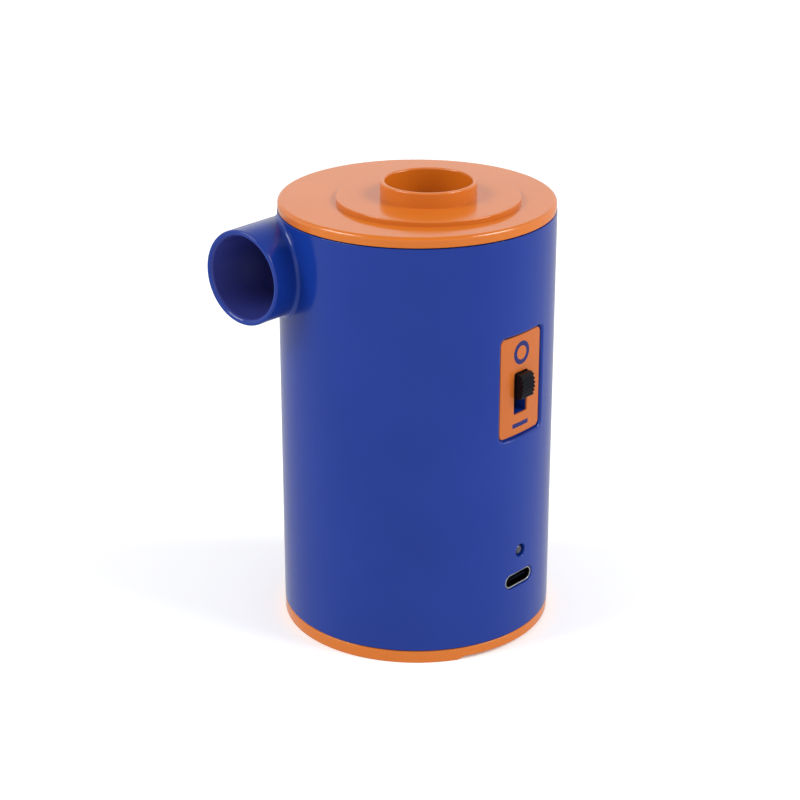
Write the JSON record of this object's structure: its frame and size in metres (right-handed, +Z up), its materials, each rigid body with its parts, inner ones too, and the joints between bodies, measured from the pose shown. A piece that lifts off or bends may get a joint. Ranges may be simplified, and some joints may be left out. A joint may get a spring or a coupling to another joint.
{
  "type": "electric air mattress pump",
  "caption": "Hand-sized rechargeable air pump: a round housing with a side outlet nozzle, an inlet collar on the lid, a slide switch and a charging port.",
  "frame": {"origin": "centre of the round housing in its standing plane", "axes": "+Z up along the housing, -Y out of the switch and charging port, -X out of the outlet nozzle"},
  "size_m": [0.0658, 0.0615, 0.1015],
  "materials": {
    "blue_shell": "glossy moulded",
    "orange_shell": "glossy moulded",
    "blue_print": "inlaid",
    "black_plastic": "fine moulded grain",
    "white_plastic": "moulded nylon",
    "seal_rubber": "soft",
    "lens_plastic": "diffuse dome",
    "zinc_steel": "zinc plated",
    "motor_steel": "drawn, nickel plated",
    "laminated_steel": "stacked sheets",
    "ferrite": "sintered",
    "copper": "enamelled copper wire",
    "brass_metal": "turned brass",
    "bronze": "sintered bronze",
    "carbon": "pressed carbon",
    "nickel": "bright nickel",
    "cell_wrap": "shrink wrap",
    "circuit_green": "solder mask",
    "component_black": "moulded epoxy",
    "foam_grey": "closed-cell foam",
    "wire_red": "silicone insulation",
    "wire_black": "silicone insulation"
  },
  "bodies": {
    "housing": {"main_housing": "blue_shell", "lid": "orange_shell", "lid_seal": "seal_rubber", "inlet_guard": "orange_shell", "base_cap": "orange_shell", "base_screws": "zinc_steel", "chamber_floor": "black_plastic", "floor_screws": "zinc_steel", "battery_cell_left": "cell_wrap", "battery_cell_right": "cell_wrap", "battery_strips": "nickel", "battery_pads": "foam_grey", "battery_bracket": "black_plastic", "charge_board": "circuit_green", "board_components": "component_black", "board_screws": "zinc_steel", "usb_shell": "nickel", "usb_tongue": "component_black", "charge_led": "lens_plastic", "switch_plate": "orange_shell", "switch_mark_off": "blue_print", "switch_mark_on": "blue_print", "switch_housing": "component_black", "switch_terminals": "nickel", "wires_red": "wire_red", "wires_black": "wire_black", "motor_can": "motor_steel", "motor_magnets": "ferrite", "motor_end_cap": "component_black", "front_bush": "bronze", "rear_bush": "bronze", "brushes": "carbon", "motor_terminals": "brass_metal", "motor_screws": "zinc_steel"},
    "rotor": {"impeller": "white_plastic", "impeller_insert": "brass_metal", "motor_shaft": "motor_steel", "armature_core": "laminated_steel", "armature_windings": "copper", "commutator": "copper"},
    "slider": {"switch_knob": "black_plastic", "switch_contact": "bronze"}
  },
  "joints": [
    {"name": "rotor_spin", "type": "hinge", "parent": "housing", "child": "rotor", "pos_m": [-0.0005, -0.0036, 0.08], "axis": [0, 0, 1], "continuous": true},
    {"name": "switch_slide", "type": "slide", "parent": "housing", "child": "slider", "axis": [0, 0, -1], "range_m": [0, 0.0036]}
  ]
}
